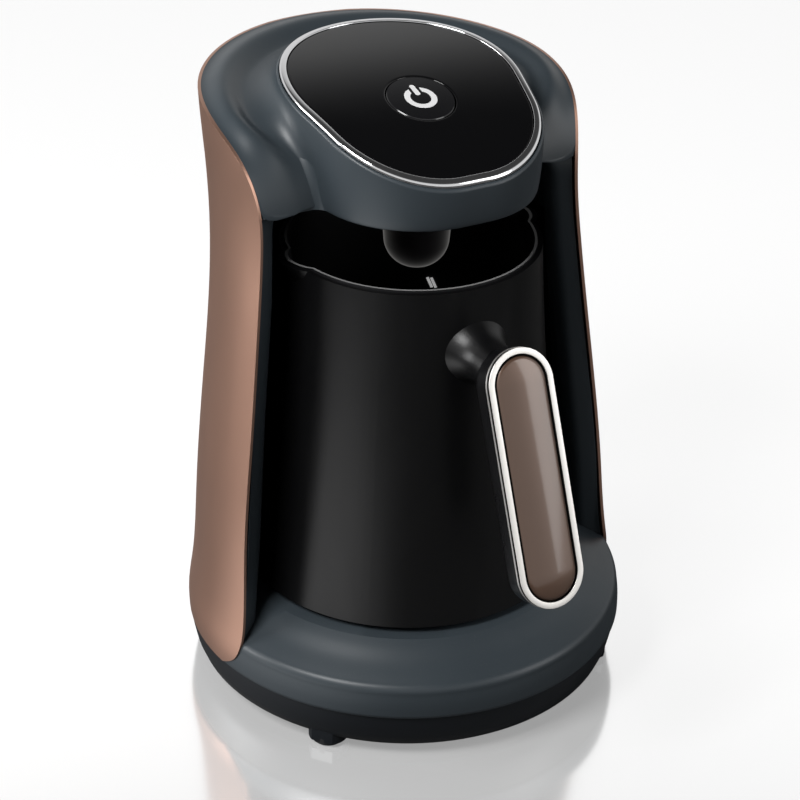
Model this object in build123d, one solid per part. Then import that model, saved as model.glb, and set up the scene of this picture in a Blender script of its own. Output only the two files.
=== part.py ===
from build123d import *
from math import cos, hypot, pi, radians, sin, sqrt
import os

os.makedirs("parts", exist_ok=True)

# Millimetres, +Z up, front towards -Y, feet plane at z = 0, base axis at x = y = 0.

# base
foot_h, foot_r, pad_h = 4.0, 5.4, 2.8   # underside of the pan; rubber pads
seam_z, seam_r = 17.4, 73.2          # joint between the base pan and the base cover
pan_r, pan_foot_r = 72.6, 68.6
seat_z, seat_r = 36.2, 57.0          # level top of the cover under the pot
cover_wall, pan_wall = 2.4, 2.2
plate_r = 26.0                       # round seat plate that carries the connector

# copper-coloured skin: height, radius and centre (y) of its round sections
skin_rows = [(17.4, 73.3, -0.9), (22, 73.4, -0.9), (30, 72.3, -0.7), (60, 69.3, 0.5),
             (100, 64.9, 3.3), (140, 60.3, 6.7), (160, 59.0, 9.5), (175, 59.2, 11.0),
             (190, 60.2, 11.5), (206, 61.0, 11.5)]
skin_wall, skin_gap = 1.5, 0.15
# edge of the skin seen from the side: up the arm, over the shoulder, back along the rim
skin_edge = [(-10.0, 17.4), (-16.6, 22), (-18.4, 38), (-13.3, 100), (-8.5, 160), (-6.2, 176),
             (0.2, 186.2), (13.5, 192.8), (40, 197.1), (84, 201.4)]

# recess between the arms: height, radius, centre, and the arm's front corner (x, y)
bay_rows = [(20, 62.8, -0.1, 70.9, -18.5), (60, 59.0, 0.5, 67.1, -17.0),
            (100, 54.6, 2.0, 62.8, -13.2), (140, 49.8, 4.0, 58.0, -9.8),
            (169.5, 48.2, 6.0, 56.0, -7.8)]
ceiling_z, bay_corner = 169.5, 6.5
house_wall = 2.2
liner_wall, liner_top, liner_front = 1.5, 150.0, -1.0

# head: circles (x, y, radius) whose hull is the panel's outline, and the arc its top follows
panel_circles = [(0, 6.2, 35.8), (-4, -7.6, 29.2), (4, -7.6, 29.2)]
arc_y, arc_z, arc_r = 58.3, -10.9, 217.5
ring_wide, ring_deep, panel_wall = 3.2, 4.0, 2.4

# power button, in its own tilted frame
button_y, button_r, button_gap, press = -4.1, 10.6, 0.3, 0.8

# pot: foot, middle and top of its flared side (radius, height), then its rim, spouts and handle
pot_side = (54.0, 38.6), (45.5, 98.6), (41.0, 158.0)
pot_foot_z, rim_z, lip_x, lip_rise = 37.6, 150.3, 47.3, 0.9
pot_wall, vessel_wall, vessel_gap = 1.6, 0.8, 0.1
spout_low, spout_high = (130, 0.72), (158, 1.04)    # height and size of the spout's plan
spout_side = [(33.0, 21.0), (37.4, 14.6), (41.0, 10.2), (44.8, 6.9), (46.7, 3.4), (47.3, 0)]
vessel_floor = 47.0
mark_r, mark_z = 41.1, 114.2         # pair of level marks on the inside wall
post_r, post_top = 9.0, 43.0
handle_top, handle_low, handle_half = (-63.4, 140.0), (-93.5, 66.2), 11.0
grip_thick, bezel_wide, bezel_thick = 8.5, 2.3, 2.2
neck_z = 128.5

# sensor dome under the head
dome_y, dome_r, dome_z = -3.5, 10.8, 142.0


def smooth_face(points, *corners):
    """Face closed by a spline through points and straight lines through the corners."""
    return make_face([Spline(*points), Polyline(points[-1], *corners, points[0])])


def turned(*points):
    """Solid of revolution about Z from a closed (radius, z) outline."""
    return revolve(Plane.XZ * make_face(Polyline(*points, close=True)), Axis.Z)


def rod(radius, z0, z1, x=0.0, y=0.0):
    return Pos(x, y, z0) * Cylinder(radius, z1 - z0, align=(Align.CENTER, Align.CENTER, Align.MIN))


def tube(outer, inner, z0, z1, x=0.0, y=0.0):
    return rod(outer, z0, z1, x, y) - rod(inner, z0 - 1, z1 + 1, x, y)


def block(x, y, z, dx, dy, dz):
    """Box standing on (x, y, z), centred in x and y."""
    return Pos(x, y, z) * Box(dx, dy, dz, align=(Align.CENTER, Align.CENTER, Align.MIN))


def together(shapes):
    """Several separate solids as one node."""
    return Compound(children=[s for shape in shapes for s in shape.solids()])


def polar(radius, angle):
    return radius * cos(radians(angle)), radius * sin(radians(angle))


def round_body(inset):
    """Solid inside the skin's outer surface, drawn in by inset."""
    return loft([Plane.XY.offset(z) * Pos(0, y) * Circle(r - inset) for z, r, y in skin_rows])


def behind_edge(inset):
    """Everything behind and below the skin's side profile, drawn in by inset."""
    points = []
    for (y0, z0), (y, z), (y1, z1) in zip(skin_edge[:1] + skin_edge, skin_edge,
                                          skin_edge[1:] + skin_edge[-1:]):
        run = hypot(y1 - y0, z1 - z0)
        points.append((y + inset * (z1 - z0) / run, z - inset * (y1 - y0) / run))
    face = smooth_face(points, (84, 8), (points[0][0], 8))
    return extrude(Plane.YZ * face, 95, both=True)


def bay_section(z, r, y, edge_x, edge_y):
    """Keyhole plan of the recess: a circle opening forwards between the arms' slanted faces."""
    corner_y = edge_y + 5.5
    round_y = corner_y + 4.5
    circle_x = sqrt(r**2 - (round_y - y) ** 2)
    corner_x = circle_x + 4.5 * (round_y - y) / circle_x
    outer = edge_x + 8, edge_y - 4.8
    run = hypot(outer[0] - corner_x, outer[1] - corner_y)
    face_start = (corner_x + 4.5 * (outer[0] - corner_x) / run,
                  corner_y + 4.5 * (outer[1] - corner_y) / run)
    half = [(circle_x, round_y), (corner_x, corner_y), face_start, outer, (outer[0], -120)]
    other = [(-px, py) for px, py in half]
    edges = [ThreePointArc(half[0], (0, y + r), other[0]), Bezier(*other[:3]),
             Polyline(other[2], other[3], other[4], half[4], half[3], half[2]),
             Bezier(*half[2::-1])]
    return Plane.XY.offset(z) * make_face(edges)


def recess():
    """Recess for the pot; its last sections round the corner under the ceiling."""
    z, r, y, edge_x, edge_y = bay_rows[-1]
    rows = bay_rows[:-1] + [(z - bay_corner, r + 0.3, y - 0.3, edge_x + 0.2, edge_y - 0.2)]
    for angle in (25, 48, 70, 90):
        up, slip = bay_corner * (1 - sin(radians(angle))), bay_corner * (1 - cos(radians(angle)))
        rows.append((z - up, r - slip, y, edge_x - slip, edge_y + slip))
    return loft([bay_section(*row) for row in rows], ruled=True)


def round_bay(grow, z0, z1):
    """Round part of the recess only, between two heights."""
    rows = [Plane.XY.offset(z) * Pos(0, y) * Circle(r + grow)
            for z, r, y, _, _ in bay_rows + [(180, *bay_rows[-1][1:])]]
    return loft(rows, ruled=True) & block(0, 45 + liner_front, z0, 160, 90, z1 - z0)


def panel_outline(grow=0.0):
    """Egg-shaped outline of the top panel, grown by a margin."""
    rings = [(Pos(x, y) * Circle(r + grow)).edge() for x, y, r in panel_circles]
    return make_hull(ShapeList(rings))


def prism(grow, z0, z1):
    return extrude(Plane.XY.offset(z0) * panel_outline(grow), z1 - z0)


def arc_slab(low, high):
    """Curved slab between two offsets of the arc that the panel's top follows."""
    band = Pos(arc_y, arc_z) * (Circle(arc_r + high) - Circle(arc_r + low))
    return extrude(Plane.YZ * band, 60, both=True)


def arc_height(y):
    return arc_z + sqrt(arc_r**2 - (y - arc_y) ** 2)


button_z = arc_height(button_y)
button_axis = (0, (button_y - arc_y) / arc_r, (button_z - arc_z) / arc_r)
button_frame = Plane(origin=(0, button_y, button_z), x_dir=(1, 0, 0), z_dir=button_axis)


def at_button(part):
    return button_frame.location * part


def screw(x, y, z, length, shank=1.5, head=2.9, turn=0):
    """Cross-slotted screw with its head's underside at (x, y, z), shank up before the turn about X."""
    body = rod(shank, 0, length) + rod(head, -1.6, 0)
    slot = block(0, 0, -1.7, 0.7, 3.4, 0.9) + block(0, 0, -1.7, 3.4, 0.7, 0.9)
    return Pos(x, y, z) * (Rot(turn, 0, 0) * (body - slot))


# base

def cover_profile(drop=0.0):
    """Outline of the cover's top, lowered and narrowed by drop."""
    return [(seam_r - drop, seam_z), (73.0 - drop, 22.5), (72.5 - drop, 25.6),
            (71.2 - drop, 27.9), (68.8 - drop, 29.6 - drop * 0.7), (64.0 - drop, 32.1 - drop),
            (60.0 - drop, 34.6 - drop), (seat_r - drop, seat_z - drop), (0, seat_z - drop)]


base_screws_at = [polar(56, a) for a in (25, 155, 205, 335)]
house_screws_at = [(-38.0, 54.5), (38.0, 54.5), (-66.2, 4.0), (66.2, 4.0)]
feet_at = [polar(65, a) for a in (219.5, 320.5, 39.5, 140.5)]
board_holes = [(x, y) for x in (-27, 27) for y in (-48, -24)]


def make_base_pan():
    outer = turned((0, foot_h), (pan_foot_r, foot_h), (70.0, 5.2), (71.3, 8.5), (72.2, 13),
                   (pan_r, seam_z - 0.4), (0, seam_z - 0.4))
    inner = turned((0, foot_h + pan_wall), (67.4, foot_h + pan_wall), (69.0, 9), (70.0, 13),
                   (70.3, seam_z + 1), (0, seam_z + 1))
    pan = outer - inner
    for x, y in base_screws_at:
        pan += tube(4.2, 1.7, foot_h + pan_wall - 0.2, 16.5, x, y)
        pan -= rod(3.4, foot_h - 1, foot_h + 1.7, x, y) + rod(1.7, 3, 8, x, y)
    for x, y in board_holes:
        pan += tube(2.9, 1.45, foot_h + pan_wall - 0.2, 9.15, x, y)
    for x, y in feet_at:
        pan += rod(foot_r + 1.0, 1.6, 6.0, x, y) & rod(70.4, 0, 20)
        pan -= rod(foot_r + 0.05, 0, pad_h + 0.05, x, y)
    pan -= together([block(x, y, 3, 2, 18, 5) for x in range(-18, 19, 6) for y in (-13, 13)])
    pan += together([block(x, 0, foot_h + pan_wall - 0.2, 1.4, 44, 3.2) for x in (-24, 24)])
    pan -= Pos(0, 70, 11.2) * (Rot(90, 0, 0) * Cylinder(4.35, 16))
    return pan - Pos(0, 73.0, 11.2) * (Rot(90, 0, 0) * Cylinder(5.7, 3.6))


def make_feet():
    pads = []
    for x, y in feet_at:
        pad = rod(foot_r, 0, pad_h, x, y)
        pad = chamfer(pad.edges().sort_by(Axis.Z)[0], 0.7)
        pads.append(pad - rod(2.2, -1, 1.0, x, y))
    return together(pads)


def make_cord_bush():
    body = Cylinder(4.3, 7) + Pos(0, 0, 3.4) * Cylinder(5.5, 1.3) + Pos(0, 0, -3.4) * Cylinder(4.9, 1.3)
    grip = Pos(0, 0, 3.9) * (Cylinder(4.9, 0.8) - Cylinder(4.4, 0.8))
    return Pos(0, 68.9, 11.2) * (Rot(-90, 0, 0) * (body - Cylinder(3.2, 12) - grip))


def make_base_cover():
    cover = turned(*cover_profile(), (0, seam_z))
    cover -= turned(*cover_profile(cover_wall)[1:], (0, seam_z - 1), (70.4, seam_z - 1))
    cover += tube(69.9, 68.5, seam_z - 3.0, seam_z + 4.0) + tube(71.2, 68.5, seam_z, seam_z + 4)
    cover -= rod(plate_r + 0.1, 30, 40)
    for x, y in base_screws_at:
        cover += rod(3.6, 16.8, 34.0, x, y)
        cover -= rod(1.55, 16, 31.5, x, y)
    for x, y in house_screws_at:
        cover += rod(3.2, 25.0, 28.8, x, y)
        cover -= rod(1.7, 20, 50, x, y)
    cover += together([Rot(0, 0, a) * block(45, 0, 30.0, 20, 1.2, 4.4) for a in range(0, 360, 60)])
    cover -= block(0, 66.2, 22, 18, 4.4, 20) + block(0, 69, seam_z - 3.5, 12, 5, 3.5)
    outside = rod(90, seam_z, 60) - round_body(skin_wall + 0.25)
    return cover - (outside & behind_edge(-0.3))


def make_seat_plate():
    plate = turned((0, 32.2), (plate_r, 32.2), (plate_r, seat_z), (20.0, seat_z),
                   (18.5, seat_z - 1.0), (14, seat_z - 1.0), (12.5, seat_z), (0, seat_z))
    plate += tube(plate_r + 3, plate_r - 1, 32.2, 33.7)
    plate -= rod(post_r + 0.05, 30, 40)
    return plate - together([rod(1.4, 30, 40, *polar(23.2, a)) for a in (30, 150, 270)])


def make_base_connector():
    post = turned((0, 26), (12.5, 26), (12.5, 32.15), (post_r, 32.15), (post_r, post_top - 1.2),
                  (post_r - 1.2, post_top), (0, post_top))
    post -= tube(post_r + 1, post_r - 1.0, 38.0, 39.4) + tube(post_r + 1, post_r - 1.0, 40.4, 41.6)
    post -= rod(2.6, 34, 50) + rod(1.2, 20, 35)
    return post - together([block(x, 0, 25, 4.6, 0.9, 6) for x in (-7, 7)])


def make_base_contacts():
    rings = [tube(post_r - 0.1, post_r - 0.95, z, z + h) for z, h in ((38.05, 1.3), (40.45, 1.1))]
    pin = chamfer(rod(1.15, 22, 41.0).edges().sort_by(Axis.Z)[-1], 0.5)
    return together([*rings, pin, *[block(x, 0, 22.0, 4.5, 0.8, 8.8) for x in (-7, 7)]])


def make_clamp():
    ring = turned((12.7, 29.2), (27, 29.2), (27, 30.6), (24, 30.6), (24, 32.1), (12.7, 32.1))
    return ring - together([rod(1.4, 28, 40, *polar(23.2, a)) for a in (30, 150, 270)])


def make_terminal_block():
    body = block(0, 48, 6.4, 30, 12, 10.5)
    for x in (-10, 0, 10):
        body -= rod(2.4, 12.5, 20, x, 45.5) + Pos(x, 42.5, 10) * (Rot(90, 0, 0) * Cylinder(1.9, 8))
    return body


def make_terminal_screws():
    return together([rod(2.2, 12.6, 15.8, x, 45.5) - block(x, 45.5, 15.0, 3.6, 0.7, 2)
                     for x in (-10, 0, 10)])


def make_power_board():
    board = block(0, -36, 9.2, 62, 34, 1.6)
    return board - together([rod(1.55, 8, 12, x, y) for x, y in board_holes])


def make_power_parts():
    relay = fillet(block(-15, -36, 10.85, 15, 19, 12).edges().filter_by(Axis.Z), 0.8)
    core = block(5, -38, 10.85, 17, 16, 12) + block(5, -38, 12.5, 20, 10, 8)
    caps = [rod(3.6, 10.85, 22.5, 20.5, y) for y in (-43, -34)]
    fuse = Pos(8, -24.5, 13.4) * (Rot(0, 90, 0) * Cylinder(2.4, 16))
    return together([relay, core, *caps, fuse])


def make_wires():
    runs = []
    for x in (-4.5, 0, 4.5):
        points = [(x, 55.0, 12), (x, 63.0, 17), (x, 66.75, 26), (x, 66.75, 31), (x, 66.1, 40),
                  (x, 64.6, 60), (x, 62.4, 100), (x, 60.6, 140), (x, 61.5, 176), (x, 55.0, 185),
                  (x, 37.0, 187)]
        line = Polyline(*points)
        end = Plane(origin=line @ 0, z_dir=line % 0)
        runs.append(sweep(end * RegularPolygon(0.8, 6), path=line, transition=Transition.RIGHT))
    return together(runs)


# column and head

def make_skin():
    return (round_body(0) - round_body(skin_wall)) & behind_edge(0)


hollow_rows = [(24, 72.9, -0.8), (60, 69.3, 0.5), (100, 64.9, 3.3), (140, 60.3, 6.7), (160, 59.0, 9.5)]
hollow_bay = [(62.6, 0.0), (59.0, 0.5), (54.6, 2.0), (49.8, 4.0), (48.6, 5.4)]


def crescent(z, outer, outer_y, inner, inner_y, start):
    """Crescent face between two round walls at height z, from an angle above +X to its mirror."""
    def on(radius, y, angle):
        px, py = polar(radius, angle)
        return px, py + y
    a, b = on(outer, outer_y, start), on(inner, inner_y, start)
    edges = [ThreePointArc(a, on(outer, outer_y, 90), (-a[0], a[1])), Line((-a[0], a[1]), (-b[0], b[1])),
             ThreePointArc((-b[0], b[1]), on(inner, inner_y, 90), b), Line(b, a)]
    return Plane.XY.offset(z) * make_face(edges)


def make_housing():
    wall = skin_wall + skin_gap
    body = round_body(wall) & behind_edge(0.35) & block(0, 0, 22, 200, 240, 190)
    lobe = loft([Plane.XY.offset(ceiling_z - 1) * panel_outline(1.6),
                 Plane.XY.offset(181.5) * panel_outline(2.9)]) + prism(2.9, 181.5, 214)
    lobe -= arc_slab(-ring_deep - 0.05, 40)
    lobe &= block(0, 0, 160, 200, 200, 60)
    head = body + lobe
    creases = [e for e in new_edges(body, lobe, combined=head) if e.center().Z > ceiling_z + 1]
    hollow = recess()
    head = fillet(creases, 4.2) - hollow
    bay_wall = liner_wall + 0.1 + house_wall
    column = [crescent(z, r - wall - house_wall, y, bay_r + bay_wall, bay_y, 4)
              for (z, r, y), (bay_r, bay_y) in zip(hollow_rows, hollow_bay)]
    crown = [crescent(z, 54.5, 11.0, 41.5, 5.0, 12) for z in (ceiling_z + 5.0, 187.5)]
    head = head - loft(column, ruled=True) - loft(crown, ruled=True)
    head -= prism(-2.2, ceiling_z + bay_wall, 214)
    head -= block(0, 61.3, 150, 18, 4.8, 32) + block(0, 46, 178, 18, 34, 11.5)
    posts = [at_button(rod(2.6, -40, -15.85, x, y)) for x, y in control_holes]
    head += together(posts) & block(0, 0, ceiling_z + bay_wall - 0.3, 90, 110, 40)
    head -= together([at_button(rod(1.25, -24, -15, x, y)) for x, y in control_holes])
    bosses = together([rod(3.4, 29, 46, x, y) for x, y in house_screws_at])
    head += (bosses & round_body(wall)) - hollow
    head -= together([rod(1.55, 25, 45.5, x, y) for x, y in house_screws_at])
    head -= round_bay(liner_wall + 0.1, 20, liner_top + 0.1)
    head -= rod(20.0, ceiling_z - 1, ceiling_z + 6, 0, dome_y)
    return head - turned(*cover_profile(-0.1), (0, seam_z - 2))


def make_liner():
    liner = round_bay(liner_wall, 33.0, liner_top) - round_bay(0, 20, 160)
    return liner - turned(*cover_profile(-0.1), (0, seam_z - 2))


def make_underside():
    plate = turned((12.4, 168.1), (24.4, 168.1), (25.6, 169.4), (19.8, 169.4), (19.8, 174.8),
                   (18.2, 174.8), (18.2, 171.0), (16, 171.0), (16, 173.2), (12.4, 173.2))
    hooks = [Rot(0, 0, a) * block(19.6, 0, 173.4, 2.2, 5, 1.4) for a in (0, 90, 180, 270)]
    return Pos(0, dome_y) * (plate + together(hooks))


def make_dome():
    shoulder = dome_r - 0.5, dome_z + 8.6
    outline = [ThreePointArc((0, dome_z), (7.0, dome_z + 2.2), shoulder),
               Polyline(shoulder, (12.0, 173.3), (15.2, 173.3), (15.2, 174.6), (0, 174.6), (0, dome_z))]
    body = revolve(Plane.XZ * make_face(outline), Axis.Z)
    inside = turned((0, dome_z + 3.4), (5.4, dome_z + 3.4), (8.2, dome_z + 8), (9.6, 160),
                    (10.3, 176), (0, 176))
    return Pos(0, dome_y) * (body - inside)


def make_sensor_windows():
    return Pos(0, dome_y) * together([rod(1.55, dome_z + 3.5, dome_z + 6.5, x) for x in (-3.4, 3.4)])


def make_sensor_board():
    board = rod(8.0, 150.5, 151.7) - rod(1.0, 150, 152, 0, 6.2)
    parts = [rod(2.4, 148.7, 150.5, x) for x in (-3.4, 3.4)] + [block(0, -3.5, 151.7, 6, 4, 3.5)]
    return Pos(0, dome_y) * together([board + parts[0] + parts[1] + parts[2]])


def make_trim_ring():
    ring = (prism(ring_wide, 160, 214) - prism(0, 159, 215)) & arc_slab(-ring_deep, 0.35)
    top = ring.edges().sort_by(lambda e: e.center().Z)[-2:]
    return chamfer(top, 0.8)


def make_top_panel():
    panel = prism(-0.12, 160, 214) & arc_slab(-panel_wall, 0)
    return panel - at_button(rod(button_r + button_gap, -10, 5))


def make_head_frame():
    ledge = (prism(-0.3, 160, 214) - prism(-4.2, 159, 215)) & arc_slab(-ring_deep, -panel_wall - 0.05)
    skirt = (prism(-2.5, 160, 214) - prism(-4.2, 159, 215)) & arc_slab(-8, -ring_deep + 0.2)
    return ledge + skirt


def power_mark():
    """Open ring and bar of the power sign, cut through the button's cap."""
    ring = Circle(5.1) - Circle(3.2) - Pos(0, 4.5) * Rectangle(3.6, 5)
    bar = Pos(0, 3.9) * SlotOverall(5.4, 1.7, rotation=90)
    return at_button(extrude(Plane.XY.offset(-0.5) * (ring + bar), 2))


def make_button_cap():
    cap = at_button(rod(button_r, -3.1, 3)) & arc_slab(-8, 0)
    cap = chamfer(cap.edges().sort_by(lambda e: e.center().Z)[-1], 0.25)
    return cap + at_button(rod(12.0, -4.0, -3.1) + rod(3.0, -7.0, -4.0)) - power_mark()


def make_power_symbol():
    return power_mark() & arc_slab(-3, 0)


def make_button_spring():
    coil = Helix(pitch=1.45, height=2.9, radius=6.2)
    wire = Plane(origin=coil @ 0, z_dir=coil % 0) * Rectangle(0.55, 0.55)
    return at_button(Pos(0, 0, -7.25) * sweep(wire, path=coil, is_frenet=True))


def make_button_guide():
    guide = rod(14.6, -9.5, -8.5) + rod(4.4, -8.6, -5.6)
    legs = [Rot(0, 0, a) * block(13.6, 0, -8.6, 2.0, 3.4, 5.65) for a in (45, 135, 225, 315)]
    return at_button(guide + together(legs) - rod(3.08, -12, 0))


def make_switch_body():
    case = block(0, 0, -14.15, 12, 12, 4.4) - rod(1.28, -14.0, -8)
    feet = [block(x, y, -14.15, 1.2, 1.2, 1.6) for x in (-6.4, 6.4) for y in (-4, 4)]
    return at_button(case + together(feet))


def make_switch_plunger():
    return at_button(rod(1.2, -12.9, -7.05))


control_holes = [(-21.5, -15), (21.5, -15), (-21.5, 25), (21.5, 25)]


def make_control_board():
    plan = RectangleRounded(48, 48, 4)
    board = extrude(Plane.XY.offset(-15.8) * (Pos(0, 5) * plan), 1.6)
    return at_button(board - together([rod(1.4, -17, -13, x, y) for x, y in control_holes]))


def make_control_screws():
    return together([at_button(screw(x, y, -14.15, 8, 1.2, 2.4, turn=180)) for x, y in control_holes])


def make_control_parts():
    chips = [block(-13, 17, -14.15, 9, 9, 1.4), block(9, 19, -14.15, 14, 6, 5.5),
             block(14, -7, -14.15, 5, 7, 2.4), *[block(x, 10.5, -14.15, 2, 1.4, 1) for x in (-4, 0, 4)]]
    return at_button(together(chips))


def make_buzzer():
    can = rod(5.2, -14.15, -9.9, -15, 0) - rod(1.0, -11, -8, -15, 0)
    return at_button(can)


# pot

def spout_section(side, inset, z, size):
    """Plan of one spout at height z, its slanted sides drawn in by inset."""
    half = [(side * (x * size - 1.35 * inset), y * size) for x, y in spout_side]
    points = half + [(x, -y) for x, y in half[-2::-1]]
    return Plane.XY.offset(z) * make_face([Spline(*points), Line(points[-1], points[0])])


def pot_envelope(inset, z0, z1):
    """Solid inside the pot's wall, with a spout on each side, between two heights."""
    wall = [(r - inset, z) for r, z in pot_side]
    outline = [ThreePointArc(*wall), Polyline(wall[2], (0, wall[2][1]), (0, wall[0][1]), wall[0])]
    body = revolve(Plane.XZ * make_face(outline), Axis.Z)
    for side in (-1, 1):
        body += loft([spout_section(side, inset, *row) for row in (spout_low, spout_high)], ruled=True)
    return body & block(0, 0, z0, 140, 140, z1 - z0)


def above_rim(drop):
    """Everything above the rim line, which lifts towards the spouts."""
    line = [(28, 0.03), (36, 0.15), (41, 0.4), (lip_x, lip_rise), (54, 1.6)]
    points = [(-x, rim_z + h - drop) for x, h in reversed(line)] + [(0, rim_z - drop)]
    points += [(x, rim_z + h - drop) for x, h in line]
    return extrude(Plane.XZ * smooth_face(points, (54, 180), (-54, 180)), 70, both=True)


pot_screws_at = [polar(47.4, a) for a in (30, 150, 270)]
handle_mid = ((handle_top[0] + handle_low[0]) / 2, (handle_top[1] + handle_low[1]) / 2)
handle_run = hypot(handle_top[0] - handle_low[0], handle_top[1] - handle_low[1])
handle_axis = (0, (handle_low[1] - handle_top[1]) / handle_run,
               (handle_top[0] - handle_low[0]) / handle_run)
handle_frame = Plane(origin=(0, *handle_mid), x_dir=(1, 0, 0), z_dir=handle_axis)


def handle_slot(margin, z0, z1):
    """Long rounded bar along the handle, drawn in by margin, between two depths."""
    plan = SlotOverall(handle_run - 2 * margin, 2 * (handle_half - margin), rotation=90)
    return extrude(Plane.XY.offset(z0) * plan, z1 - z0)


def along_neck(part):
    """Moves a part drawn up Z so that it runs forwards from the pot's axis along the neck."""
    return Pos(0, 0, neck_z) * (Rot(90, 0, 0) * part)


def make_pot_shell():
    shell = pot_envelope(0, 38.6, 158) + turned((0, pot_foot_z), (52.8, pot_foot_z), (54.0, 38.6), (0, 38.6))
    shell -= pot_envelope(pot_wall, 40, 158) + rod(52.3, 30, 40.2)
    for x, y in pot_screws_at:
        shell += rod(4.6, 40.2, 44.0, x, y)
        shell -= rod(1.35, 40, 43.5, x, y)
    shell -= above_rim(0.7)
    outline = [ThreePointArc((11.6, 40.5), (8.3, 45.6), (7.2, 51.5)),
               Polyline((7.2, 51.5), (7.2, 62), (0, 62), (0, 38), (11.6, 38), (11.6, 40.5))]
    neck = revolve(Plane.XZ * make_face(outline), Axis.Z)
    neck = along_neck(neck) - pot_envelope(pot_wall - 0.4, 40, 158)
    neck -= handle_frame.location * handle_slot(-6, -grip_thick - 1.6, 30)
    return shell + neck - along_neck(rod(1.65, 46, 70))


def make_vessel():
    vessel = pot_envelope(pot_wall + vessel_gap, vessel_floor, 158)
    vessel -= pot_envelope(pot_wall + vessel_gap + vessel_wall, vessel_floor + vessel_wall, 159)
    return vessel - above_rim(0)


def make_level_marks():
    bar = Pos(mark_r, 0, mark_z) * (Rot(0, -5, 0) * (Rot(-23, 0, 0) * Box(0.25, 0.9, 4.0)))
    return together([Rot(0, 0, angle) * bar for angle in (50.9, 49.0)])


def make_heater_plate():
    plate = rod(42, 45.0, 46.9) - together([rod(2.6, 44, 48, x, y) for x, y in ((16, 10), (-16, 10))])
    return plate


def make_heater_coil():
    coil = revolve(Plane.XZ * Pos(30, 0) * RegularPolygon(2.0, 8), Axis.Z)
    ends = [rod(1.2, 40.6, 43.0, x, -28.6) for x in (-6, 6)]
    gap = block(0, -30, 40, 8, 8, 8)
    return (Pos(0, 0, 42.95) * coil - gap) + ends[0] + ends[1]


def make_pot_cap():
    cap = rod(52.1, 37.9, 40.1) + tube(43.5, 40.0, 36.3, 38.0)
    cap -= rod(13.1, 30, 50)
    for x, y in pot_screws_at:
        cap -= rod(3.0, 36, 38.9, x, y) + rod(1.5, 36, 42, x, y)
    slots = [Rot(0, 0, a) * block(28, 0, 37, 10, 1.6, 5) for a in range(0, 360, 30)]
    return cap - together(slots)


def make_socket():
    body = turned((0, 37.4), (13.0, 37.4), (13.0, 40.15), (15.6, 40.15), (15.6, 41.3), (13.0, 41.3),
                  (13.0, 44.6), (0, 44.6))
    body -= rod(post_r + 0.35, 36, 43.5) + tube(10.6, 9, 38.1, 39.3) + tube(10.6, 9, 40.5, 41.6)
    return body


def make_socket_contacts():
    rings = [tube(10.5, 9.5, z, z + h) for z, h in ((38.15, 1.1), (40.55, 1.0))]
    pin = tube(2.2, 1.35, 37.8, 43.45)
    return together([*rings, pin])


def make_seal():
    return tube(50.5, 43.0, 44.3, 46.9)


def make_probes():
    return together([rod(2.5, 41.8, 46.8, x, y) for x, y in ((16, 10), (-16, 10))])


def make_pot_screws():
    return together([screw(x, y, 38.9, 4.2, 1.3, 2.8) for x, y in pot_screws_at])


def make_grip():
    core = handle_slot(0.3, -grip_thick - 1.6, -bezel_thick - 0.05)
    core = fillet(core.edges().group_by(Axis.Z)[0], 2.6)
    core += handle_slot(bezel_wide + 0.2, -bezel_thick - 0.1, -1.7)
    core = handle_frame.location * core
    return core - along_neck(rod(1.7, 40, 100) + rod(3.1, 62.6, 100))


def make_bezel():
    ring = handle_slot(0, -bezel_thick, 0) - handle_slot(bezel_wide, -5, 5)
    outer = ring.edges().group_by(Axis.Z)[-1]
    return handle_frame.location * fillet(outer, 0.6)


def make_insert():
    body = handle_slot(bezel_wide + 0.12, -1.65, 3)
    round_top = Pos(0, 0, 0.95 - 30) * (Rot(90, 0, 0) * Cylinder(30, 120))
    return handle_frame.location * (body & round_top)


def make_grip_screw():
    body = rod(1.6, 47.5, 62.6) + rod(2.9, 62.6, 64.4) - block(0, 0, 63.7, 4, 0.7, 2)
    return along_neck(body)


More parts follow.
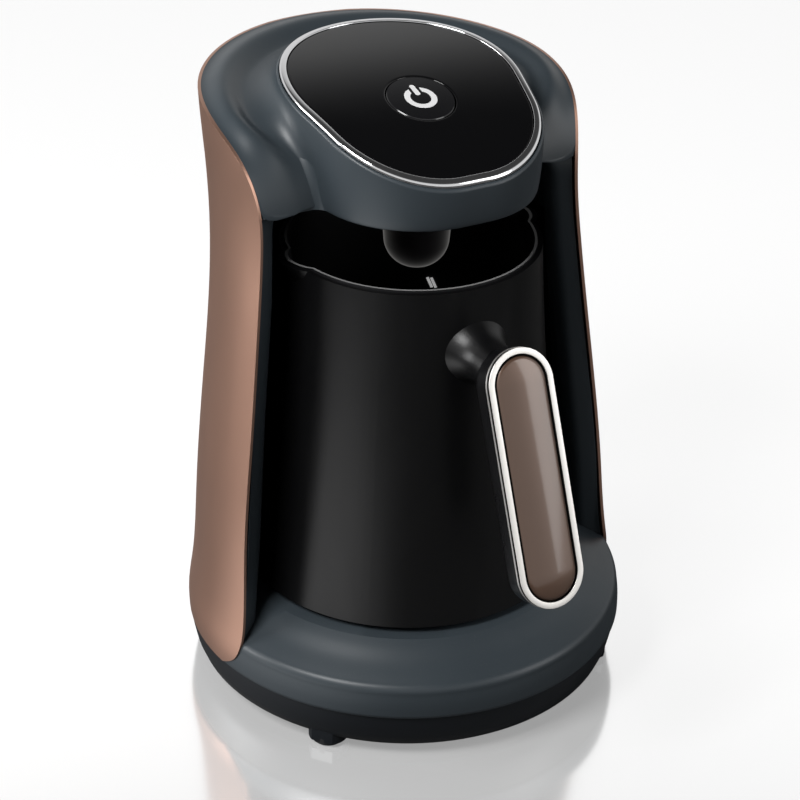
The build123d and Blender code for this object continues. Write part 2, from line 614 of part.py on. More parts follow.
parts = {
    "base_pan": make_base_pan(), "rubber_feet": make_feet(), "cord_bush": make_cord_bush(),
    "base_cover": make_base_cover(), "seat_plate": make_seat_plate(),
    "base_connector": make_base_connector(), "base_contacts": make_base_contacts(),
    "connector_clamp": make_clamp(), "terminal_block": make_terminal_block(),
    "terminal_screws": make_terminal_screws(), "power_board": make_power_board(),
    "power_components": make_power_parts(), "wiring": make_wires(),
    "base_screws": together([screw(x, y, foot_h + 1.7, 22) for x, y in base_screws_at]),
    "housing_screws": together([screw(x, y, 25.0, 19) for x, y in house_screws_at]),
    "clamp_screws": together([screw(*polar(23.2, a), 29.2, 6, 1.3, 2.4) for a in (30, 150, 270)]),
    "outer_skin": make_skin(), "body_housing": make_housing(), "recess_liner": make_liner(),
    "head_underside": make_underside(), "sensor_dome": make_dome(),
    "sensor_windows": make_sensor_windows(), "sensor_board": make_sensor_board(),
    "trim_ring": make_trim_ring(), "top_panel": make_top_panel(), "head_frame": make_head_frame(),
    "button_cap": make_button_cap(), "power_symbol": make_power_symbol(),
    "button_spring": make_button_spring(), "button_guide": make_button_guide(),
    "switch_body": make_switch_body(), "switch_plunger": make_switch_plunger(),
    "control_board": make_control_board(), "control_screws": make_control_screws(),
    "control_components": make_control_parts(), "buzzer": make_buzzer(),
    "pot_shell": make_pot_shell(), "pot_vessel": make_vessel(), "level_marks": make_level_marks(),
    "heater_plate": make_heater_plate(), "heater_coil": make_heater_coil(),
    "pot_base_cap": make_pot_cap(), "pot_socket": make_socket(),
    "socket_contacts": make_socket_contacts(), "seal_ring": make_seal(),
    "temperature_probes": make_probes(), "pot_screws": make_pot_screws(),
    "handle_grip": make_grip(), "handle_bezel": make_bezel(), "handle_insert": make_insert(),
    "handle_screw": make_grip_screw(),
}

for name, part in parts.items():
    export_step(part, f"parts/{name}.step")
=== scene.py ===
import bpy
import bmesh
import math
import numpy as np
from mathutils import Matrix, Vector


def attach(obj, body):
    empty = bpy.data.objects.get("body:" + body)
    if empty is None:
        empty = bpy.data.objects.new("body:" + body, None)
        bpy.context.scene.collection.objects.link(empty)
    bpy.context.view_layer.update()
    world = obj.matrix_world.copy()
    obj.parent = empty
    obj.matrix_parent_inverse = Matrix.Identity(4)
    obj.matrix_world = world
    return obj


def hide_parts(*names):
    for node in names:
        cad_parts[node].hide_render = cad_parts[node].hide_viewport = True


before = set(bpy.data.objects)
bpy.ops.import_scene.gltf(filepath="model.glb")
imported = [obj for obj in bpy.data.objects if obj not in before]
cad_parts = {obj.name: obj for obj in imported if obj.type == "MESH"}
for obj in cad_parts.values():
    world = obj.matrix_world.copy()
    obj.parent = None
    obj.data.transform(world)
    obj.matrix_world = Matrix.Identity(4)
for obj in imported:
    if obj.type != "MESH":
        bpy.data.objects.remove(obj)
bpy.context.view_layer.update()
millimetre = 0.001  # shapes below are in millimetres, the scene is in metres
print("frame loaded with", len(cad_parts), "nodes")


# a setting that names one of the node's inputs gives that input its value, any other is the node's own
def addNode(tree, kind, place, **settings):
    node = tree.nodes.new(kind)
    node.location = place
    for key, value in settings.items():
        if key in node.inputs:
            node.inputs[key].default_value = value
        else:
            setattr(node, key, value)
    return node


# empty shader group; inputs are (label, kind, value), outputs (label, kind)
def newGroup(name, inputs, outputs):
    group = bpy.data.node_groups.new(name, "ShaderNodeTree")
    for label, kind, value in inputs:
        socket = group.interface.new_socket(label, in_out="INPUT", socket_type=kind)
        if value is not None:
            socket.default_value = value
    for label, kind in outputs:
        group.interface.new_socket(label, in_out="OUTPUT", socket_type=kind)
    start = addNode(group, "NodeGroupInput", (-900, 0))
    end = addNode(group, "NodeGroupOutput", (700, 0))
    return group, start, end


# one math node; a, b and c are numbers or the outputs of other nodes
def addMath(tree, operation, a, b, place, c=None):
    node = addNode(tree, "ShaderNodeMath", place, operation=operation)
    for slot, value in enumerate((a, b, c)):
        if isinstance(value, (int, float)):
            node.inputs[slot].default_value = value
        elif value is not None:
            tree.links.new(value, node.inputs[slot])
    return node.outputs[0]


# clamped ramp: a value between the two ends is spread between the two levels
def addRamp(tree, value, ends, place, levels=(0.0, 1.0), curve="LINEAR"):
    ramp = addNode(tree, "ShaderNodeMapRange", place, clamp=True, interpolation_type=curve)
    for key, number in zip(("From Min", "From Max", "To Min", "To Max"), (*ends, *levels)):
        ramp.inputs[key].default_value = number
    tree.links.new(value, ramp.inputs["Value"])
    return ramp.outputs["Result"]


# moulded or sprayed grain: coarse noise plus fine noise, as a height
def buildGrain():
    coarseRatio = 0.22  # scale of the coarse noise against the fine one
    group, start, end = newGroup("surfaceGrain", [
        ("Vector", "NodeSocketVector", None), ("Scale", "NodeSocketFloat", 900.0),
        ("Coarse Share", "NodeSocketFloat", 0.35)], [("Height", "NodeSocketFloat")])
    fine = addNode(group, "ShaderNodeTexNoise", (-500, 150), Detail=2.0)
    coarse = addNode(group, "ShaderNodeTexNoise", (-500, -150), Detail=3.0)
    group.links.new(start.outputs["Vector"], fine.inputs["Vector"])
    group.links.new(start.outputs["Vector"], coarse.inputs["Vector"])
    group.links.new(start.outputs["Scale"], fine.inputs["Scale"])
    group.links.new(addMath(group, "MULTIPLY", start.outputs["Scale"], coarseRatio, (-700, -200)),
                    coarse.inputs["Scale"])
    blend = addNode(group, "ShaderNodeMix", (0, 0), data_type="FLOAT")
    group.links.new(start.outputs["Coarse Share"], blend.inputs["Factor"])
    group.links.new(fine.outputs["Fac"], blend.inputs["A"])
    group.links.new(coarse.outputs["Fac"], blend.inputs["B"])
    group.links.new(blend.outputs["Result"], end.inputs["Height"])
    return group


# slow drift of tone over a surface: the colour moves between a darker and a lighter copy of itself
def buildDrift():
    group, start, end = newGroup("toneDrift", [
        ("Vector", "NodeSocketVector", None), ("Color", "NodeSocketColor", (0.5, 0.5, 0.5, 1)),
        ("Scale", "NodeSocketFloat", 22.0), ("Amount", "NodeSocketFloat", 0.08)],
        [("Color", "NodeSocketColor")])
    noise = addNode(group, "ShaderNodeTexNoise", (-600, 0), Detail=4.0, Roughness=0.55)
    group.links.new(start.outputs["Vector"], noise.inputs["Vector"])
    group.links.new(start.outputs["Scale"], noise.inputs["Scale"])
    centred = addMath(group, "SUBTRACT", noise.outputs["Fac"], 0.5, (-400, 0))
    swing = addMath(group, "MULTIPLY", centred, start.outputs["Amount"], (-200, 0))
    gain = addMath(group, "MULTIPLY_ADD", swing, 2.0, (0, 0), 1.0)
    tint = addNode(group, "ShaderNodeVectorMath", (300, 0), operation="SCALE")
    group.links.new(start.outputs["Color"], tint.inputs[0])
    group.links.new(gain, tint.inputs["Scale"])
    group.links.new(tint.outputs["Vector"], end.inputs["Color"])
    return group


# handling marks: roughness rises in soft wiped patches
def buildWipes():
    patchEnds = (0.42, 0.68)  # noise levels at which a patch begins and is full
    group, start, end = newGroup("wipeMarks", [
        ("Vector", "NodeSocketVector", None), ("Roughness", "NodeSocketFloat", 0.4),
        ("Scale", "NodeSocketFloat", 35.0), ("Amount", "NodeSocketFloat", 0.06)],
        [("Roughness", "NodeSocketFloat")])
    stretch = addNode(group, "ShaderNodeMapping", (-700, 0), Scale=(1.0, 1.0, 0.35))
    noise = addNode(group, "ShaderNodeTexNoise", (-500, 0), Detail=5.0, Roughness=0.6, Distortion=0.6)
    group.links.new(start.outputs["Vector"], stretch.inputs["Vector"])
    group.links.new(stretch.outputs["Vector"], noise.inputs["Vector"])
    group.links.new(start.outputs["Scale"], noise.inputs["Scale"])
    patches = addRamp(group, noise.outputs["Fac"], patchEnds, (-250, 0))
    lift = addMath(group, "MULTIPLY", patches, start.outputs["Amount"], (0, 0))
    group.links.new(addMath(group, "ADD", lift, start.outputs["Roughness"], (250, 0)),
                    end.inputs["Roughness"])
    return group


# settled dust: pale specks where the surface looks up
def buildDust():
    upEnds = (0.35, 0.95)  # upward share of the normal at which dust begins and is full
    speckEnds, speckScale = (0.66, 0.74), 2400.0
    group, start, end = newGroup("settledDust", [
        ("Vector", "NodeSocketVector", None), ("Color", "NodeSocketColor", (0.1, 0.1, 0.1, 1)),
        ("Dust Color", "NodeSocketColor", (0.35, 0.34, 0.33, 1)), ("Amount", "NodeSocketFloat", 0.1)],
        [("Color", "NodeSocketColor")])
    geometry = addNode(group, "ShaderNodeNewGeometry", (-900, -250))
    split = addNode(group, "ShaderNodeSeparateXYZ", (-700, -250))
    group.links.new(geometry.outputs["Normal"], split.inputs["Vector"])
    facing = addRamp(group, split.outputs["Z"], upEnds, (-500, -250))
    specks = addNode(group, "ShaderNodeTexNoise", (-700, 100), Scale=speckScale, Detail=1.0)
    group.links.new(start.outputs["Vector"], specks.inputs["Vector"])
    sparse = addRamp(group, specks.outputs["Fac"], speckEnds, (-500, 100))
    both = addMath(group, "MULTIPLY", facing, sparse, (-250, 0))
    mask = addMath(group, "MULTIPLY", both, start.outputs["Amount"], (-50, 0))
    blend = addNode(group, "ShaderNodeMix", (250, 0), data_type="RGBA")
    group.links.new(mask, blend.inputs["Factor"])
    group.links.new(start.outputs["Color"], blend.inputs["A"])
    group.links.new(start.outputs["Dust Color"], blend.inputs["B"])
    group.links.new(blend.outputs["Result"], end.inputs["Color"])
    return group


surfaceGrain, toneDrift, wipeMarks, settledDust = buildGrain(), buildDrift(), buildWipes(), buildDust()


# lighter grey where the surface looks up above a height: the rim's bare metal, with its highlight painted
# in as colour
def addLip(tree, where, color, shader, look):
    masks = []
    for row, (source, ends) in enumerate(((where, look["lipHeight"]),
                                          (where.node.outputs["Normal"], look["lipFacing"]))):
        split = addNode(tree, "ShaderNodeSeparateXYZ", (-900, -500 - 200 * row))
        tree.links.new(source, split.inputs["Vector"])
        masks.append(addRamp(tree, split.outputs["Z"], ends, (-650, -500 - 200 * row)))
    mask = addMath(tree, "MULTIPLY", *masks, (-400, -600))
    blend = addNode(tree, "ShaderNodeMix", (50, 250), data_type="RGBA")
    blend.inputs["B"].default_value = (*look["lipMetalHighlightColor"], 1)
    tree.links.new(mask, blend.inputs["Factor"])
    tree.links.new(color, blend.inputs["A"])
    tree.links.new(blend.outputs["Result"], shader.inputs["Base Color"])


# what a finish has unless it says otherwise; the depth of the grain is in metres
plainFinish = {"drift": 0.06, "driftScale": 22.0, "dust": 0.0, "wipe": 0.05, "wipeScale": 35.0,
               "grain": 0.1, "grainScale": 1500.0, "grainDepth": 0.0001}


# one finish: colour with drift and dust, roughness with wipes, grain as bump, constants on the shader
def makeFinish(name, look):
    look = {**plainFinish, **look}
    material = bpy.data.materials.new(name)
    material.use_nodes = True
    tree = material.node_tree
    tree.nodes.clear()
    out = addNode(tree, "ShaderNodeOutputMaterial", (700, 0))
    shader = addNode(tree, "ShaderNodeBsdfPrincipled", (400, 0))
    tree.links.new(shader.outputs[0], out.inputs["Surface"])
    where = addNode(tree, "ShaderNodeTexCoord", (-900, 0)).outputs["Object"]
    color = (*look["color"], 1)
    drift = addNode(tree, "ShaderNodeGroup", (-600, 250), node_tree=toneDrift)
    drift.inputs["Color"].default_value = color
    drift.inputs["Scale"].default_value = look["driftScale"]
    drift.inputs["Amount"].default_value = look["drift"]
    dust = addNode(tree, "ShaderNodeGroup", (-250, 250), node_tree=settledDust)
    dust.inputs["Amount"].default_value = look["dust"]
    wipes = addNode(tree, "ShaderNodeGroup", (-600, 0), node_tree=wipeMarks)
    wipes.inputs["Roughness"].default_value = look["roughness"]
    wipes.inputs["Scale"].default_value = look["wipeScale"]
    wipes.inputs["Amount"].default_value = look["wipe"]
    grain = addNode(tree, "ShaderNodeGroup", (-600, -250), node_tree=surfaceGrain)
    grain.inputs["Scale"].default_value = look["grainScale"]
    bump = addNode(tree, "ShaderNodeBump", (50, -250))
    bump.inputs["Strength"].default_value = look["grain"]
    bump.inputs["Distance"].default_value = look["grainDepth"]
    for node in (drift, dust, wipes, grain):
        tree.links.new(where, node.inputs["Vector"])
    tree.links.new(drift.outputs["Color"], dust.inputs["Color"])
    tree.links.new(dust.outputs["Color"], shader.inputs["Base Color"])
    tree.links.new(wipes.outputs["Roughness"], shader.inputs["Roughness"])
    tree.links.new(grain.outputs["Height"], bump.inputs["Height"])
    tree.links.new(bump.outputs["Normal"], shader.inputs["Normal"])
    if "lipMetalHighlightColor" in look:
        addLip(tree, where, dust.outputs["Color"], shader, look)
    # faces seen edge-on glow: a painted highlight round the rims, the part lights up though it is no lamp
    if "edgeLight" in look:
        facing = addNode(tree, "ShaderNodeLayerWeight", (-250, -500), Blend=look["edgeBlend"])
        power = addMath(tree, "POWER", facing.outputs["Facing"], look["edgePower"], (0, -500))
        strength = addMath(tree, "MULTIPLY", power, look["edgeLight"], (150, -500))
        shader.inputs["Emission Color"].default_value = (*look["edgeColor"], 1)
        tree.links.new(strength, shader.inputs["Emission Strength"])
    # an even glow of the finish's own colour: painted light, the part lights up though it is no lamp
    if "glow" in look:
        shader.inputs["Emission Color"].default_value = color
        shader.inputs["Emission Strength"].default_value = look["glow"]
    for socket, key in (("Metallic", "metallic"), ("Specular IOR Level", "specular"),
                        ("Coat Weight", "coat"), ("Coat Roughness", "coatRoughness")):
        if key in look:
            shader.inputs[socket].default_value = look[key]
    return material


# linear colours; scales count per metre, lip heights are in metres
finishes = {
    "copperPaint": {"color": (0.49, 0.285, 0.21), "metallic": 0.85, "roughness": 0.36, "drift": 0.05,
                    "grain": 0.12, "grainScale": 2600.0, "wipe": 0.03, "coat": 0.15, "coatRoughness": 0.3},
    "blueGreyShell": {"color": (0.036, 0.046, 0.054), "roughness": 0.38, "specular": 0.4, "drift": 0.05,
                      "grain": 0.16, "grainScale": 2200.0, "dust": 0.05},
    "darkPan": {"color": (0.010, 0.012, 0.015), "roughness": 0.38, "specular": 0.25, "grain": 0.12},
    "recessBlack": {"color": (0.002, 0.002, 0.0025), "roughness": 0.5, "specular": 0.1, "grain": 0.15},
    "panelBlack": {"color": (0.003, 0.003, 0.0035), "roughness": 0.06, "specular": 0.34, "drift": 0.0,
                   "grain": 0.0, "wipe": 0.05, "wipeScale": 60.0},
    "keyBlack": {"color": (0.005, 0.005, 0.006), "roughness": 0.12, "specular": 0.5, "grain": 0.02},
    "signWhite": {"color": (0.85, 0.85, 0.85), "roughness": 0.35, "drift": 0.02, "grain": 0.02},
    # the level marks glow a little: painted light that lifts them out of the pot's shade
    "markWhite": {"color": (0.85, 0.85, 0.85), "roughness": 0.35, "drift": 0.02, "grain": 0.02,
                  "glow": 0.35},
    "brightChrome": {"color": (0.80, 0.80, 0.81), "metallic": 1.0, "roughness": 0.09, "drift": 0.02,
                     "grain": 0.03, "wipe": 0.05},
    "satinChrome": {"color": (0.74, 0.72, 0.69), "metallic": 0.9, "roughness": 0.4, "drift": 0.02,
                    "grain": 0.04, "wipe": 0.03},
    "potCoat": {"color": (0.003, 0.003, 0.0033), "roughness": 0.3, "specular": 0.3, "drift": 0.12,
                "grain": 0.2, "grainScale": 1700.0, "wipe": 0.07},
    # the rim top turns lighter grey: bare metal with a painted highlight along it
    "potLining": {"color": (0.006, 0.006, 0.007), "roughness": 0.5, "specular": 0.25, "grain": 0.2,
                  "lipHeight": (0.1485, 0.1495), "lipFacing": (0.45, 0.9), "lipMetalHighlightColor": (0.2, 0.2, 0.2)},
    "gripBlack": {"color": (0.003, 0.003, 0.0035), "roughness": 0.27, "specular": 0.55, "grain": 0.1},
    # near-black and all but unlit: the shade in the trim's joint and groove painted in
    "jointShadeBlack": {"color": (0.001, 0.001, 0.001), "roughness": 0.7, "specular": 0.05, "grain": 0.1},
    "insertBrown": {"color": (0.118, 0.067, 0.044), "roughness": 0.34, "metallic": 0.35, "coat": 0.8,
                    "coatRoughness": 0.11, "drift": 0.05, "grain": 0.02},
    # its rims glow where seen edge-on: a painted highlight
    "domeSmoke": {"color": (0.016, 0.015, 0.016), "roughness": 0.2, "specular": 0.6, "grain": 0.03,
                  "coat": 0.5, "coatRoughness": 0.1, "edgeLight": 0.32, "edgeBlend": 0.4, "edgePower": 3.5,
                  "edgeColor": (1, 0.98, 0.95)},
    "footRubber": {"color": (0.02, 0.021, 0.023), "roughness": 0.75, "specular": 0.3, "grain": 0.3},
    "sealRed": {"color": (0.28, 0.06, 0.035), "roughness": 0.6, "grain": 0.2},
    "innerCream": {"color": (0.42, 0.41, 0.37), "roughness": 0.5, "grain": 0.2},
    "switchBlack": {"color": (0.012, 0.012, 0.012), "roughness": 0.45, "grain": 0.1},
    "plungerRed": {"color": (0.30, 0.02, 0.015), "roughness": 0.4, "grain": 0.1},
    "boardGreen": {"color": (0.008, 0.07, 0.028), "roughness": 0.35, "drift": 0.2, "driftScale": 160.0,
                   "grain": 0.1},
    "partBlack": {"color": (0.02, 0.02, 0.022), "roughness": 0.5, "grain": 0.2},
    "wireSleeve": {"color": (0.20, 0.045, 0.012), "roughness": 0.55, "grain": 0.2},
    "brass": {"color": (0.56, 0.36, 0.11), "metallic": 1.0, "roughness": 0.3, "drift": 0.12, "grain": 0.1},
    "plainSteel": {"color": (0.52, 0.52, 0.53), "metallic": 1.0, "roughness": 0.34, "drift": 0.1,
                   "grain": 0.1},
    "heatedSteel": {"color": (0.36, 0.30, 0.25), "metallic": 1.0, "roughness": 0.42, "drift": 0.3,
                    "driftScale": 60.0, "grain": 0.1},
    "castAluminium": {"color": (0.55, 0.55, 0.56), "metallic": 1.0, "roughness": 0.48, "grain": 0.3,
                      "grainScale": 700.0},
}
finish = {name: makeFinish(name, look) for name, look in finishes.items()}
print("finishes made", len(finish))

nodeFinish = {
    "copperPaint": ["outer_skin"],
    "blueGreyShell": ["body_housing", "base_cover"],
    "darkPan": ["base_pan", "cord_bush"],
    "recessBlack": ["recess_liner", "head_underside", "seat_plate"],
    "panelBlack": ["top_panel"],
    "keyBlack": ["button_cap"],
    "signWhite": ["power_symbol"],
    "markWhite": ["level_marks"],
    "brightChrome": ["trim_ring", "handle_bezel"],
    "potCoat": ["pot_shell"],
    "potLining": ["pot_vessel"],
    "gripBlack": ["handle_grip"],
    "insertBrown": ["handle_insert"],
    "domeSmoke": ["sensor_dome", "sensor_windows"],
    "footRubber": ["rubber_feet"],
    "sealRed": ["seal_ring"],
    "innerCream": ["base_connector", "connector_clamp", "terminal_block", "head_frame", "button_guide",
                   "pot_socket"],
    "switchBlack": ["switch_body", "buzzer", "pot_base_cap"],
    "plungerRed": ["switch_plunger"],
    "boardGreen": ["power_board", "control_board", "sensor_board"],
    "partBlack": ["power_components", "control_components"],
    "wireSleeve": ["wiring"],
    "brass": ["base_contacts", "socket_contacts"],
    "plainSteel": ["terminal_screws", "base_screws", "housing_screws", "clamp_screws", "control_screws",
                   "pot_screws", "handle_screw", "button_spring"],
    "heatedSteel": ["heater_coil", "temperature_probes"],
    "castAluminium": ["heater_plate"],
}


# facets off a carried-over node: merge its loose triangles, shade smooth, keep edges over the angle sharp
def buildSmoothing(mergeDistance=1e-6):
    group = bpy.data.node_groups.new("smoothFacets", "GeometryNodeTree")
    group.interface.new_socket("Geometry", in_out="INPUT", socket_type="NodeSocketGeometry")
    group.interface.new_socket("Angle", in_out="INPUT", socket_type="NodeSocketFloat")
    group.interface.new_socket("Geometry", in_out="OUTPUT", socket_type="NodeSocketGeometry")
    start = addNode(group, "NodeGroupInput", (-800, 0))
    end = addNode(group, "NodeGroupOutput", (600, 0))
    weld = addNode(group, "GeometryNodeMergeByDistance", (-550, 0))
    weld.inputs["Distance"].default_value = mergeDistance
    angle = addNode(group, "GeometryNodeInputMeshEdgeAngle", (-550, -300))
    sharp = addNode(group, "FunctionNodeCompare", (-300, -300), data_type="FLOAT", operation="GREATER_THAN")
    soft = addNode(group, "GeometryNodeSetShadeSmooth", (-100, 0), domain="FACE")
    crisp = addNode(group, "GeometryNodeSetShadeSmooth", (200, 0), domain="EDGE")
    crisp.inputs["Shade Smooth"].default_value = False
    group.links.new(start.outputs["Geometry"], weld.inputs["Geometry"])
    group.links.new(angle.outputs["Unsigned Angle"], sharp.inputs["A"])
    group.links.new(start.outputs["Angle"], sharp.inputs["B"])
    group.links.new(weld.outputs["Geometry"], soft.inputs["Geometry"])
    group.links.new(soft.outputs["Geometry"], crisp.inputs["Geometry"])
    group.links.new(sharp.outputs["Result"], crisp.inputs["Selection"])
    group.links.new(crisp.outputs["Geometry"], end.inputs["Geometry"])
    return group, group.interface.items_tree["Angle"].identifier


smoothFacets, angleSocket = buildSmoothing()


# smooth shading on a CAD node, with edges steeper than the angle kept sharp
def smoothNode(piece, degrees=28.0):
    modifier = piece.modifiers.new("smooth facets", "NODES")
    modifier.node_group = smoothFacets
    modifier[angleSocket] = math.radians(degrees)


for name, members in nodeFinish.items():
    for member in members:
        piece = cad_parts[member]
        if not piece.material_slots:
            piece.data.materials.append(finish[name])
        for slot in piece.material_slots:
            slot.material = finish[name]
        smoothNode(piece)
painted = {member for members in nodeFinish.values() for member in members}
print("nodes painted", len(painted), "left", sorted(set(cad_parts) - painted))


# quads between neighbouring points of grid[row, column]; wrapped ways join last to first, and points that
# fall together are merged
def gridMesh(name, grid, wrapRows=False, wrapColumns=False, seam=1e-7):
    count = grid.shape[0] * grid.shape[1]
    index = np.arange(count).reshape(grid.shape[:2])
    if wrapRows:
        index = np.vstack([index, index[:1]])
    if wrapColumns:
        index = np.hstack([index, index[:, :1]])
    quads = np.stack([index[:-1, :-1], index[1:, :-1], index[1:, 1:], index[:-1, 1:]], -1).reshape(-1, 4)
    mesh = bpy.data.meshes.new(name)
    mesh.from_pydata(grid.reshape(-1, 3) * millimetre, [], quads.tolist())
    work = bmesh.new()
    work.from_mesh(mesh)
    bmesh.ops.remove_doubles(work, verts=work.verts, dist=seam)
    bmesh.ops.dissolve_degenerate(work, edges=work.edges, dist=seam / 10)
    work.to_mesh(mesh)
    work.free()
    return mesh


# turns the faces of a closed mesh outwards, shades it smooth and keeps edges over the angle sharp
def finishMesh(mesh, sharpAngle=35.0, closed=True):
    if closed:
        work = bmesh.new()
        work.from_mesh(mesh)
        if work.calc_volume(signed=True) < 0:
            bmesh.ops.reverse_faces(work, faces=work.faces)
        work.to_mesh(mesh)
        work.free()
    mesh.polygons.foreach_set("use_smooth", np.ones(len(mesh.polygons), bool))
    mesh.set_sharp_from_angle(angle=math.radians(sharpAngle))


# a mesh becomes a piece that rides on a body, with its finish, in place of the nodes named last
def addPiece(mesh, body, finishName, slotName, *replaced):
    piece = bpy.data.objects.new(mesh.name, mesh)
    bpy.context.scene.collection.objects.link(piece)
    mesh.materials.append(finish[finishName])
    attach(piece, body)
    if replaced:
        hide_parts(*replaced)
    return piece


# natural cubic through the points (x, values): second differences solved at once, then evaluated at new x
def cubicThrough(x, values, at):
    x, values, at = np.asarray(x, float), np.asarray(values, float), np.asarray(at, float)
    n, step = len(x), np.diff(x)
    system, right = np.eye(n), np.zeros((n, *values.shape[1:]))
    inner = np.arange(1, n - 1)
    system[inner, inner - 1], system[inner, inner] = step[:-1], 2 * (step[:-1] + step[1:])
    system[inner, inner + 1] = step[1:]
    slope = (np.diff(values, axis=0).T / step).T
    right[1:-1] = 6 * np.diff(slope, axis=0)
    second = np.linalg.solve(system, right)
    k = np.clip(np.searchsorted(x, at) - 1, 0, n - 2)
    h, a, b = step[k], x[k + 1] - at, at - x[k]
    if values.ndim > 1:
        h, a, b = h[:, None], a[:, None], b[:, None]
    return (second[k] * a**3 + second[k + 1] * b**3) / (6 * h) \
        + (values[k] / h - second[k] * h / 6) * a + (values[k + 1] / h - second[k + 1] * h / 6) * b


# evenly spaced points of a curve given by its corners or samples
def evenly(points, count, closed=False):
    loop = np.vstack([points, points[:1]]) if closed else np.asarray(points, float)
    run = np.concatenate([[0], np.cumsum(np.linalg.norm(np.diff(loop[:, :2], axis=0), axis=1))])
    at = np.linspace(0, run[-1], count + 1)[:-1] if closed else np.linspace(0, run[-1], count)
    return np.stack([np.interp(at, run, loop[:, k]) for k in range(loop.shape[1])], 1)


# outer skin: at each height of the side edge curve a level arc runs from one edge round the back to the
# other; radius and centre of the arc follow cubics of the height
skinShape = {  # rows are height, radius and centre y; the edge is y and height seen from the side
    "rows": [(17.4, 73.3, -0.9), (22, 73.4, -0.9), (30, 72.3, -0.7), (60, 69.3, 0.5), (100, 64.9, 3.3),
             (140, 60.3, 6.7), (160, 59.0, 9.5), (175, 59.2, 11.0), (190, 60.2, 11.5), (206, 61.0, 11.5)],
    "edge": [(-10.0, 17.4), (-16.6, 22), (-18.4, 38), (-13.3, 100), (-8.5, 160), (-6.2, 176), (0.2, 186.2),
             (13.5, 192.8), (40, 197.1), (84, 201.4)],
    "apex": 0.97,  # sine of the arc's start at which the rim is closed off at the back
    "wall": 1.0, "rounding": 0.4, "roundSteps": 3, "roundAngle": 50,
    "along": 200, "across": 64, "samples": 4000,
}


# fine points of the side edge: a cubic of the length along its corners
def skinEdge():
    edge = np.array(skinShape["edge"], float)
    run = np.concatenate([[0], np.cumsum(np.hypot(*np.diff(edge, axis=0).T))])
    return cubicThrough(run, edge, np.linspace(0, run[-1], skinShape["samples"]))


# radius and centre y of the skin's arc at each height
def skinArc(height):
    rows = np.array(skinShape["rows"], float)
    return cubicThrough(rows[:, 0], rows[:, 1:], height).T


edgeCurve = skinEdge()


def makeSkin():
    shape = skinShape
    radius, centre = skinArc(edgeCurve[:, 1])
    last = np.argmax((edgeCurve[:, 0] - centre) / radius >= shape["apex"])
    side = evenly(edgeCurve[:last + 1], shape["along"])
    radius, centre = skinArc(side[:, 1])
    start = np.arcsin((side[:, 0] - centre) / radius)
    share = np.linspace(0, 1, shape["across"])[None]
    turn = start[:, None] * (1 - share) + (math.pi - start[:, None]) * share
    grid = np.stack([radius[:, None] * np.cos(turn), centre[:, None] + radius[:, None] * np.sin(turn),
                     np.broadcast_to(side[:, 1:2], turn.shape)], -1)
    mesh = gridMesh("copperSkin", grid)
    normal = np.array([p.normal[:] for p in mesh.polygons])
    middle = np.array([p.center[:] for p in mesh.polygons])
    if (normal[:, :2] * middle[:, :2]).sum() < 0:  # the faces look inwards
        mesh.flip_normals()
    finishMesh(mesh, closed=False)
    skin = addPiece(mesh, "base", "copperPaint", "copper_skin", "outer_skin")
    wall = skin.modifiers.new("wall", "SOLIDIFY")
    wall.thickness, wall.offset, wall.use_even_offset = shape["wall"] * millimetre, -1, True
    soften = skin.modifiers.new("soft edges", "BEVEL")
    soften.width, soften.segments = shape["rounding"] * millimetre, shape["roundSteps"]
    soften.limit_method, soften.angle_limit = "ANGLE", math.radians(shape["roundAngle"])
    soften.harden_normals = True
    return skin


makeSkin()
print("skin made")


# ring round the panel: the hull of three circles, read by the direction of its normal, carries a rounded
# section whose height follows the panel's arc
headShape = {
    "circles": [(0, 6.2, 35.8), (-4, -7.6, 29.2), (4, -7.6, 29.2)],  # x, y, radius
    "arc": (58.3, -10.9, 217.5),  # y, z and radius of the arc that the panel's top follows
    "ring": {"start": (0.02, -2.2), "corner": 0.3, "crown": 0.35, "round": 0.8, "lip": 2.25,
             "bends": (5, 14),  # points round the inner and the outer corner
             "foot": [(2.25, -1.0), (2.3, -1.5), (3.15, -1.9), (3.15, -4.0), (0.02, -4.0)]},
    "panel": {"gap": 0.12, "thick": 2.4, "edge": 0.35, "bend": 6, "rows": 40, "clear": 0.03},
    "key": {"y": -4.1, "radius": 10.6, "gap": 0.3}, "points": 260,
}


# outline points with their outward normals: the circle that reaches furthest in a direction gives the point
def hullOutline(circles, count, directions=2880):
    turn = np.linspace(-math.pi, math.pi, directions, endpoint=False)
    outward = np.stack([np.cos(turn), np.sin(turn)], 1)
    circles = np.array(circles, float)
    reach = outward @ circles[:, :2].T + circles[:, 2]
    far = circles[reach.argmax(1)]
    samples = np.hstack([far[:, :2] + far[:, 2:] * outward, outward])
    even = evenly(samples, count, closed=True)
    return even[:, :2], even[:, 2:] / np.linalg.norm(even[:, 2:], axis=1, keepdims=True)


# height at y of the arc that the panel's top follows, or of one with a radius larger by rise
def arcHeight(y, rise=0.0):
    arcY, arcZ, arcR = headShape["arc"]
    return arcZ + np.sqrt((arcR + rise) ** 2 - (y - arcY) ** 2)


# section points are (distance outwards, rise from the arc); every outline point carries the whole section
def carryOnArc(outline, outward, section):
    flat = outline[:, None] + outward[:, None] * section[None, :, :1]
    return np.dstack([flat, arcHeight(flat[..., 1], section[None, :, 1])])


# points of a quarter round or less, between two angles in degrees
def roundedCorner(centre, radius, start, end, count):
    turn = np.radians(np.linspace(start, end, count))
    return np.stack([centre[0] + radius * np.cos(turn), centre[1] + radius * np.sin(turn)], 1)


